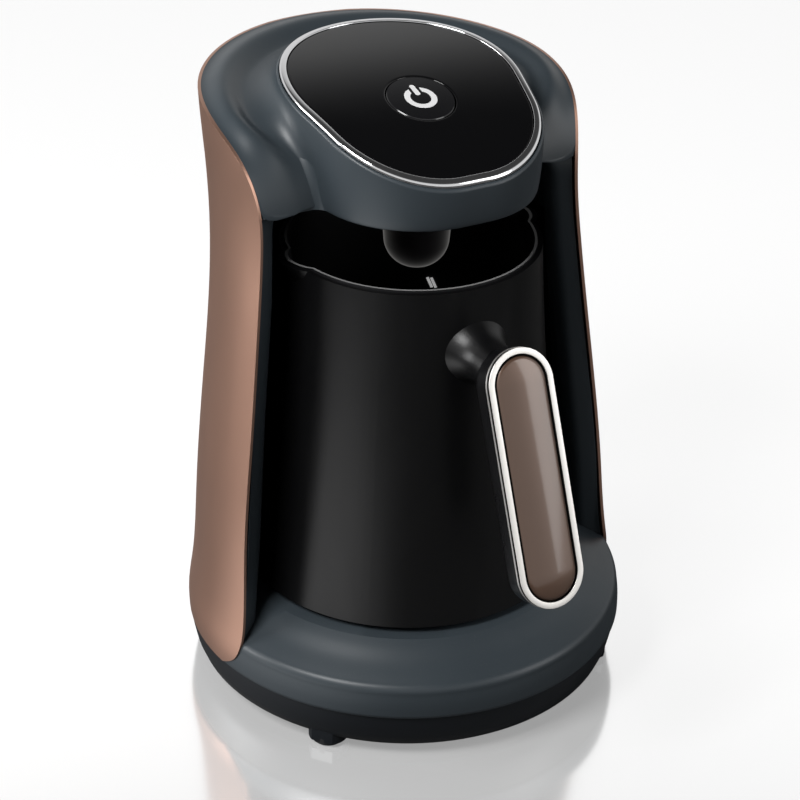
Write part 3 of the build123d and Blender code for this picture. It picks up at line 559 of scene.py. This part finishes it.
def makeRing():
    look = headShape["ring"]
    outline, outward = hullOutline(headShape["circles"], headShape["points"])
    top, corner, bend = look["crown"], look["corner"], look["round"]
    inner, outer = look["bends"]
    section = np.vstack([
        [look["start"]], roundedCorner((look["start"][0] + corner, top - corner), corner, 180, 90, inner),
        roundedCorner((look["lip"] - bend, top - bend), bend, 90, 0, outer), look["foot"]])
    mesh = gridMesh("panelRing", carryOnArc(outline, outward, section), wrapRows=True, wrapColumns=True)
    finishMesh(mesh)
    return addPiece(mesh, "base", "brightChrome", "bright_chrome", "trim_ring")


# glossy panel: rows run from the key's hole out to the outline, top side, edge and underside as one loop
def makePanel():
    look, key = headShape["panel"], headShape["key"]
    arcY, _, arcR = headShape["arc"]
    outline, outward = hullOutline(headShape["circles"], 2 * headShape["points"])
    turn = np.arctan2(outline[:, 1] - key["y"], outline[:, 0])
    slope = math.sqrt(1 - ((key["y"] - arcY) / arcR) ** 2)
    hole = key["radius"] + key["gap"]
    inner = np.stack([hole * np.cos(turn), key["y"] + hole * slope * np.sin(turn)], 1)
    outer = outline - outward * look["gap"]
    edge, thick, rows, clear = (look[name] for name in ("edge", "thick", "rows", "clear"))
    width = np.linalg.norm(outer - inner, axis=1)[:, None]
    bend = roundedCorner((0, -edge), edge, 90, 0, look["bend"])
    flatShare = np.linspace(clear, 1 - clear, rows)
    share = np.hstack([(edge - bend[::-1, 0]) / width, np.broadcast_to(flatShare, (len(width), rows)),
                       1 + (bend[:, 0] - edge) / width, np.ones_like(width), np.zeros_like(width)])
    rise = np.concatenate([bend[::-1, 1], np.zeros(rows), bend[:, 1], [-thick, -thick]])
    flat = inner[:, None] * (1 - share[..., None]) + outer[:, None] * share[..., None]
    grid = np.dstack([flat, arcHeight(flat[..., 1], rise[None])])
    mesh = gridMesh("glossPanel", grid, wrapRows=True, wrapColumns=True)
    finishMesh(mesh)
    return addPiece(mesh, "base", "panelBlack", "panel_gloss", "top_panel")


# head shell: a thin lip beside the ring, a sweep of a quarter of an ellipse down to the shoulder, then a
# ridge of ridge * sin(pi u)^2 up to the skin, u running from the sweep's foot; in front it closes onto the
# lobe's wall
shellShape = {
    "lip": 2.45, "top": -0.75, "corner": 0.75, "cornerEnd": 8, "cornerRows": 7,
    "reach": (-1.5, 9.5), "blend": (-9.0, 13.0),  # width of the sweep in front and behind, and y between
    "spread": (-7.6, -3.0), "ridge": 2.6, "ridgeFrom": (-6.0, 5.0),  # y where each starts and is full
    "lift": 0.06, "lobeFoot": 169.5,  # height over the shoulder, and least height in front
    "inset": 0.98, "close": 0.05,  # distance kept from the skin's face, and between rows that all but meet
    "skirt": 1.2, "back": 0.6, "under": -5.5,  # unseen rows that close the shell underneath
    "sweep": 30, "across": 36, "points": 420,
}


# 0 before the ends, 1 after them, and a smooth step 3t^2 - 2t^3 between
def easeBetween(value, ends):
    share = np.clip((value - ends[0]) / (ends[1] - ends[0]), 0, 1)
    return share * share * (3 - 2 * share)


# height of the shoulder at y, from the side edge of the skin above its foremost point
def shoulderHeight(y):
    side = edgeCurve[np.argmin(edgeCurve[:, 0]):]
    return np.interp(y, side[:, 0], side[:, 1])


# distance from each outline point to the skin along its normal, halving the interval
def rimDistance(outline, outward, furthest=60.0, halvings=30):
    low, high = np.zeros(len(outline)), np.full(len(outline), furthest)
    for _ in range(halvings):
        middle = (low + high) / 2
        x, y = (outline + outward * middle[:, None]).T
        radius, centre = skinArc(shoulderHeight(y))
        inside = np.hypot(x, y - centre) < radius - shellShape["inset"]
        low, high = np.where(inside, middle, low), np.where(inside, high, middle)
    return low


def makeHeadShell():
    look = shellShape
    outline, outward = hullOutline(headShape["circles"], look["points"])
    y = outline[:, 1]
    start = look["lip"] + look["corner"]
    reach = look["reach"][0] + (look["reach"][1] - look["reach"][0]) * easeBetween(y, look["blend"])
    sweep = np.linspace(0, math.pi / 2, look["sweep"])[None]
    near = start + reach[:, None] * (1 - np.cos(sweep))
    rim = rimDistance(outline, outward)
    spread = easeBetween(y, look["spread"])
    end = near[:, -1] - look["close"] * (1 - spread) + (rim - near[:, -1]) * spread
    share = np.linspace(0, 1, look["across"] + 1)[None, 1:]
    away = np.hstack([near, near[:, -1:] + (end[:, None] - near[:, -1:]) * share])
    flat = outline[:, None] + outward[:, None] * away[..., None]
    shoulder = np.maximum(shoulderHeight(flat[..., 1]) + look["lift"], look["lobeFoot"])
    top = arcHeight(flat[:, :1, 1], look["top"] - look["corner"])
    foot = shoulder[:, look["sweep"] - 1:look["sweep"]]
    ridge = look["ridge"] * easeBetween(y, look["ridgeFrom"])[:, None] * np.sin(math.pi * share) ** 2
    height = np.hstack([foot + (top - foot) * (1 - np.sin(sweep)), shoulder[:, look["sweep"]:] + ridge])
    corner = roundedCorner((look["lip"], look["top"] - look["corner"]), look["corner"], 90,
                           look["cornerEnd"], look["cornerRows"])
    lip = outline[:, None] + outward[:, None] * corner[None, :, :1]
    under = arcHeight(flat[:, :1, 1], look["under"])
    inward = np.array([look["back"], look["lip"] - look["close"]])
    hidden = np.dstack([outline[:, None] + outward[:, None] * inward[None, :, None],
                        np.hstack([np.minimum(foot, under), under])])
    drop = np.dstack([flat[:, -1:], height[:, -1:] - look["skirt"] * spread[:, None]])
    grid = np.hstack([np.dstack([lip, arcHeight(lip[..., 1], corner[None, :, 1])]),
                      np.dstack([flat, height]), drop, hidden])
    mesh = gridMesh("headShell", grid, wrapRows=True, wrapColumns=True)
    finishMesh(mesh, sharpAngle=50)
    return addPiece(mesh, "base", "blueGreyShell", "anthracite_shell")


makeRing()
makePanel()
makeHeadShell()
print("ring, panel and head shell made")


# handle: a long rounded bar in a leaning frame; bezel section and crowned insert follow its outline
handleShape = {
    "top": (-63.4, 140.0), "low": (-93.5, 66.2), "half": 11.0,  # y and z of the bar's ends, half its width
    "bezel": {"wide": 1.95, "thick": 2.2, "round": 0.15, "bend": 6,
              "groove": (0.3, 1.45, 1.6)},  # where it starts and ends below the top, and how far it cuts in
    "insert": {"gap": 0.5, "crown": 0.95, "base": -1.65, "drop": 0.6, "dropWidth": 0.25, "rows": 24},
    # strips at the joint of bezel and insert and in the groove, with their shade painted in as black
    "joints": {"innerJointShade": (-2.5, -1.93, -1.6, -0.12), "outerJointShade": (-1.5, -0.12, -1.43, -0.32)},
    "points": 240,
}


# middle of the bar, its side, upward and outward directions, and its length
def handleFrame():
    top, low = (np.array([0, *handleShape[key]], float) for key in ("top", "low"))
    down = (low - top) / np.linalg.norm(low - top)
    out = np.array([0, down[2], -down[1]])
    return (top + low) / 2, np.array([1.0, 0, 0]), -down, out, np.linalg.norm(low - top)


# outline of the bar: two half circles joined by straight sides, with outward normals
def barOutline(count):
    length = handleFrame()[4]
    half = handleShape["half"]
    reach = length / 2 - half
    return hullOutline([(0, reach, half), (0, -reach, half)], count)


# points given sideways, along and outwards from the bar's middle, put in their place
def placeOnHandle(grid):
    middle, side, along, out, _ = handleFrame()
    return middle + grid[..., :1] * side + grid[..., 1:2] * along + grid[..., 2:] * out


# section points are (distance outwards, height over the bar's top); every outline point carries them all
def carryRoundBar(name, section):
    outline, outward = barOutline(handleShape["points"])
    flat = outline[:, None] + outward[:, None] * section[None, :, :1]
    grid = np.dstack([flat, np.broadcast_to(section[None, :, 1], flat.shape[:2])])
    mesh = gridMesh(name, placeOnHandle(grid), wrapRows=True, wrapColumns=True)
    finishMesh(mesh)
    return mesh


# bezel: a ring with rounded upper edges and a groove round its outer side
def makeBezel():
    look = handleShape["bezel"]
    wide, thick, corner = look["wide"], look["thick"], look["round"]
    start, end, cut = look["groove"]
    section = np.vstack([
        [(-wide, -thick)], roundedCorner((-wide + corner, -corner), corner, 180, 90, look["bend"]),
        roundedCorner((-corner, -corner), corner, 90, 0, look["bend"]),
        [(0, -start), (-cut, -start), (-cut, -end), (0, -end), (0, -thick)]])
    return addPiece(carryRoundBar("handleBezel", section), "pot", "satinChrome", "bright_chrome",
                    "handle_bezel")


# black strips at the joint of bezel and insert and in the bezel's groove, near-black and all but unlit, so
# the shade there is painted in: a rectangular section (left, right, low, high) follows the outline of the
# bar
def makeJointShade(name, section):
    left, right, low, high = section
    corners = np.array([(left, low), (left, high), (right, high), (right, low)])
    return addPiece(carryRoundBar(name, corners), "pot", "jointShadeBlack", "black_plastic")


# insert: rows shrink from the outline to the middle line; its height is a round crown over the half width,
# less a drop that dies out exponentially from the edge
def makeInsert():
    look = handleShape["insert"]
    inset = handleShape["bezel"]["wide"] + look["gap"]
    outline, outward = barOutline(handleShape["points"])
    half = handleShape["half"] - inset
    edge = outline - outward * inset
    share = np.concatenate([[0, 0], np.sin(np.linspace(0, math.pi / 2, look["rows"]))])[None, :, None]
    flat = edge[:, None] - outward[:, None] * half * share
    depth = np.clip(half * share[..., 0], 0, half)
    crown = look["crown"] * (1 - (1 - depth / half) ** 2)
    crown = crown - look["drop"] * np.exp(-depth / look["dropWidth"])
    rise = np.broadcast_to(np.where(np.arange(crown.size) == 0, look["base"], crown), flat.shape[:2])
    mesh = gridMesh("handleInsert", placeOnHandle(np.dstack([flat, rise])), wrapRows=True)
    base = bmesh.new()
    base.from_mesh(mesh)
    bmesh.ops.holes_fill(base, edges=[e for e in base.edges if e.is_boundary])
    base.to_mesh(mesh)
    base.free()
    finishMesh(mesh)
    return addPiece(mesh, "pot", "insertBrown", "insert_brown", "handle_insert")


makeBezel()
makeInsert()
for name, section in handleShape["joints"].items():
    makeJointShade(name, section)
print("handle trim made")


# front face of the base cover: the profile (radius, height) turns about the upright axis between the side
# edges of the skin; its corner is a quadratic Bezier curve, its depth dies out towards the two ends
coverShape = {
    "wall": [(73.26, 17.5), (73.06, 22.5), (72.56, 25.6)],
    "corner": [(72.56, 25.6), (72.45, 27.95), (70.6, 28.75)],
    "top": [(70.6, 28.75), (68.8, 29.68), (64, 32.18), (60, 34.68), (57, 36.28)],
    "depth": 0.5, "endShare": 12,  # the depth is whole from a twelfth of the turn inwards
    "clear": 0.12, "around": 260, "wallRows": 10, "cornerRows": 24, "topRows": 30,
}


def makeCoverFace():
    look = coverShape
    wall, corner, top = (np.array(look[key], float) for key in ("wall", "corner", "top"))
    share = np.linspace(0, 1, look["cornerRows"])[:, None]
    bend = corner[0] * (1 - share) ** 2 + 2 * corner[1] * share * (1 - share) + corner[2] * share ** 2
    rise = np.linspace(wall[0, 1], wall[-1, 1], look["wallRows"])
    upright = np.stack([cubicThrough(wall[:, 1], wall[:, 0], rise), rise], 1)
    spread = np.linspace(top[0, 0], top[-1, 0], look["topRows"])[1:]
    slope = np.stack([spread, cubicThrough(top[::-1, 0], top[::-1, 1], spread)], 1)
    profile = np.vstack([upright[:-1], bend, slope])
    edge = np.array(skinShape["edge"], float)[:4]  # its lower part, which rises steadily
    front = np.interp(profile[:, 1], edge[:, 1], edge[:, 0]) - look["clear"]
    end = np.arcsin(front / profile[:, 0])
    share = np.linspace(0, 1, look["around"])[None]
    turn = end[:, None] * (1 - share) + (-math.pi - end[:, None]) * share
    depth = look["depth"] * np.minimum(1, look["endShare"] * np.minimum(share, 1 - share))
    sides = []
    for sink in (0 * depth, depth):
        radius = profile[:, :1] - sink
        sides.append(np.dstack([radius * np.cos(turn), radius * np.sin(turn), profile[:, 1:] - sink]))
    mesh = gridMesh("coverFace", np.vstack([sides[0], sides[1][::-1]]), wrapRows=True)
    finishMesh(mesh, sharpAngle=50)
    return addPiece(mesh, "base", "blueGreyShell", "anthracite_shell")


makeCoverFace()
print("cover face made")


# pale floor: the camera sees a lit matt part, an even glow and a soft mirror, other rays a plain matt grey;
# first reflections also meet a bright patch of it on the left
floorLook = {
    "size": 6.0, "matt": 0.22, "glow": 0.31, "mirror": 0.76, "roughness": 0.12, "bounce": 0.14,
    "patch": (-0.22, -0.06, 0), "patchEnds": (0.17, 0.04),  # its middle, and where it is gone and full
    "patchGlow": 2.2,
    "firstDepth": 1.5,  # a ray deeper than this is a later reflection
}


def makeFloor():
    look = floorLook
    side = look["size"] / 2
    mesh = bpy.data.meshes.new("floor")
    mesh.from_pydata([(-side, -side, 0), (side, -side, 0), (side, side, 0), (-side, side, 0)], [],
                     [(0, 1, 2, 3)])
    floor = bpy.data.objects.new("floor", mesh)
    bpy.context.scene.collection.objects.link(floor)
    material = bpy.data.materials.new("paleFloor")
    material.use_nodes = True
    tree = material.node_tree
    tree.nodes.clear()
    out = addNode(tree, "ShaderNodeOutputMaterial", (800, 0))
    matt = addNode(tree, "ShaderNodeBsdfDiffuse", (-100, 200), Color=(*[look["matt"]] * 3, 1))
    mirror = addNode(tree, "ShaderNodeBsdfGlossy", (-100, 0), Color=(*[look["mirror"]] * 3, 1),
                     Roughness=look["roughness"])
    glow = addNode(tree, "ShaderNodeEmission", (-100, -200), Strength=look["glow"])
    bounce = addNode(tree, "ShaderNodeBsdfDiffuse", (200, -250), Color=(*[look["bounce"]] * 3, 1))
    path = addNode(tree, "ShaderNodeLightPath", (200, 300))
    first = addNode(tree, "ShaderNodeAddShader", (200, 100))
    seen = addNode(tree, "ShaderNodeAddShader", (400, 0))
    pick = addNode(tree, "ShaderNodeMixShader", (600, 0))
    where = addNode(tree, "ShaderNodeTexCoord", (-1100, -500))
    apart = addNode(tree, "ShaderNodeVectorMath", (-900, -500), operation="DISTANCE")
    apart.inputs[1].default_value = look["patch"]
    tree.links.new(where.outputs["Object"], apart.inputs[0])
    fade = addRamp(tree, apart.outputs["Value"], look["patchEnds"], (-650, -500), (0.0, look["patchGlow"]),
                   "SMOOTHSTEP")
    early = addMath(tree, "LESS_THAN", path.outputs["Ray Depth"], look["firstDepth"], (-650, -750))
    once = addMath(tree, "MULTIPLY", early, path.outputs["Is Glossy Ray"], (-500, -750))
    patch = addNode(tree, "ShaderNodeEmission", (-150, -500))
    tree.links.new(addMath(tree, "MULTIPLY", fade, once, (-400, -500)), patch.inputs["Strength"])
    other = addNode(tree, "ShaderNodeAddShader", (400, -300))
    for source, target in ((bounce, other.inputs[0]), (patch, other.inputs[1]), (matt, first.inputs[0]),
                           (mirror, first.inputs[1]), (first, seen.inputs[0]), (glow, seen.inputs[1]),
                           (other, pick.inputs[1]), (seen, pick.inputs[2]), (path, pick.inputs[0]),
                           (pick, out.inputs["Surface"])):
        tree.links.new(source.outputs[0], target)
    mesh.materials.append(material)


# white seen directly; as light and in reflections the room is pale low down and dark overhead, and dimmer
# still in a reflection of a reflection
worldLook = {
    "light": (0.028, 0.04), "lightEnds": (0.0, 0.6),  # low and high level, and the heights between them
    "mirror": (0.76, 0.05), "mirrorEnds": (0.54, 0.8),
    "later": 0.15, "firstDepth": 2.5,  # share left in later reflections, and the ray depth that parts them
}


def makeWorld():
    look = worldLook
    world = bpy.data.worlds.new("studio")
    bpy.context.scene.world = world
    world.use_nodes = True
    tree = world.node_tree
    tree.nodes.clear()
    out = addNode(tree, "ShaderNodeOutputWorld", (900, 0))
    glow = addNode(tree, "ShaderNodeBackground", (700, 0), Color=(1, 1, 1, 1))
    where = addNode(tree, "ShaderNodeTexCoord", (-900, 300))
    split = addNode(tree, "ShaderNodeSeparateXYZ", (-700, 300))
    tree.links.new(where.outputs["Generated"], split.inputs["Vector"])
    light, mirror = (addRamp(tree, split.outputs["Z"], look[name + "Ends"], (-450, row), look[name],
                             "SMOOTHSTEP") for name, row in (("light", 300), ("mirror", 0)))
    path = addNode(tree, "ShaderNodeLightPath", (-700, -300))
    sharp = addMath(tree, "MAXIMUM", path.outputs["Is Glossy Ray"], path.outputs["Is Transmission Ray"],
                    (-450, -300))
    early = addMath(tree, "LESS_THAN", path.outputs["Ray Depth"], look["firstDepth"], (-450, -500))
    faded = addMath(tree, "MULTIPLY_ADD", early, 1 - look["later"], (-250, -500), look["later"])
    level = addNode(tree, "ShaderNodeMix", (0, 0), data_type="FLOAT")
    tree.links.new(sharp, level.inputs["Factor"])
    tree.links.new(light, level.inputs["A"])
    tree.links.new(addMath(tree, "MULTIPLY", mirror, faded, (-200, 0)), level.inputs["B"])
    seen = addNode(tree, "ShaderNodeMix", (300, 0), data_type="FLOAT", B=1.0)
    tree.links.new(path.outputs["Is Camera Ray"], seen.inputs["Factor"])
    tree.links.new(level.outputs["Result"], seen.inputs["A"])
    tree.links.new(seen.outputs["Result"], glow.inputs["Strength"])
    tree.links.new(glow.outputs[0], out.inputs["Surface"])


# azimuth counts from the front towards +X, both angles in degrees, size and distance in metres
lamps = {
    "keyLeft": {"azimuth": -72, "elevation": 46, "distance": 0.75, "size": (0.3, 0.3), "watts": 5.6},
    "sideLeft": {"azimuth": -116, "elevation": 10, "distance": 1.1, "size": (0.45, 0.5), "watts": 6.5},
    "cardRight": {"azimuth": 40, "elevation": 20, "distance": 1.0, "size": (0.36, 0.7), "watts": 2.6},
}
lampAim = (0, 0, 0.12)


# direction from the aim towards a lamp or the camera
def rayTowards(azimuth, elevation):
    a, e = math.radians(azimuth), math.radians(elevation)
    return Vector((math.sin(a) * math.cos(e), -math.cos(a) * math.cos(e), math.sin(e)))


def makeLamps():
    for name, lamp in lamps.items():
        light = bpy.data.lights.new(name, "AREA")
        light.shape = "RECTANGLE"
        light.size, light.size_y = lamp["size"]
        light.energy = lamp["watts"]
        ray = rayTowards(lamp["azimuth"], lamp["elevation"])
        holder = bpy.data.objects.new(name, light)
        holder.location = Vector(lampAim) + ray * lamp["distance"]
        holder.rotation_mode = "QUATERNION"
        holder.rotation_quaternion = ray.to_track_quat("Z", "Y")
        bpy.context.scene.collection.objects.link(holder)


# aim point, angles in degrees, distance, sideways and upward slide of the camera, its roll and its lens
cameraLook = {"target": (0, -0.0025, 0.1), "azimuth": -29.59, "elevation": 29.12, "distance": 0.7,
              "side": -0.00374, "rise": -0.00672, "roll": 1.18, "lens": 97.29, "sensor": 36.0,
              "nearest": 0.01}


def makeCamera():
    look = cameraLook
    a, r = math.radians(look["azimuth"]), math.radians(look["roll"])
    back = rayTowards(look["azimuth"], look["elevation"])
    right = Vector((math.cos(a), math.sin(a), 0))
    up = back.cross(right)
    right, up = right * math.cos(r) + up * math.sin(r), up * math.cos(r) - right * math.sin(r)
    place = Vector(look["target"]) + back * look["distance"] + right * look["side"] + up * look["rise"]
    camera = bpy.data.objects.new("camera", bpy.data.cameras.new("camera"))
    camera.data.lens = look["lens"]
    camera.data.sensor_width = look["sensor"]
    camera.data.clip_start = look["nearest"]
    turn = Matrix((right, up, back)).transposed().to_4x4()
    camera.matrix_world = Matrix.Translation(place) @ turn
    bpy.context.scene.collection.objects.link(camera)
    bpy.context.scene.camera = camera


makeFloor()
makeWorld()
makeLamps()
makeCamera()
bpy.context.scene.view_settings.view_transform = "Standard"
print("floor, light and camera placed")
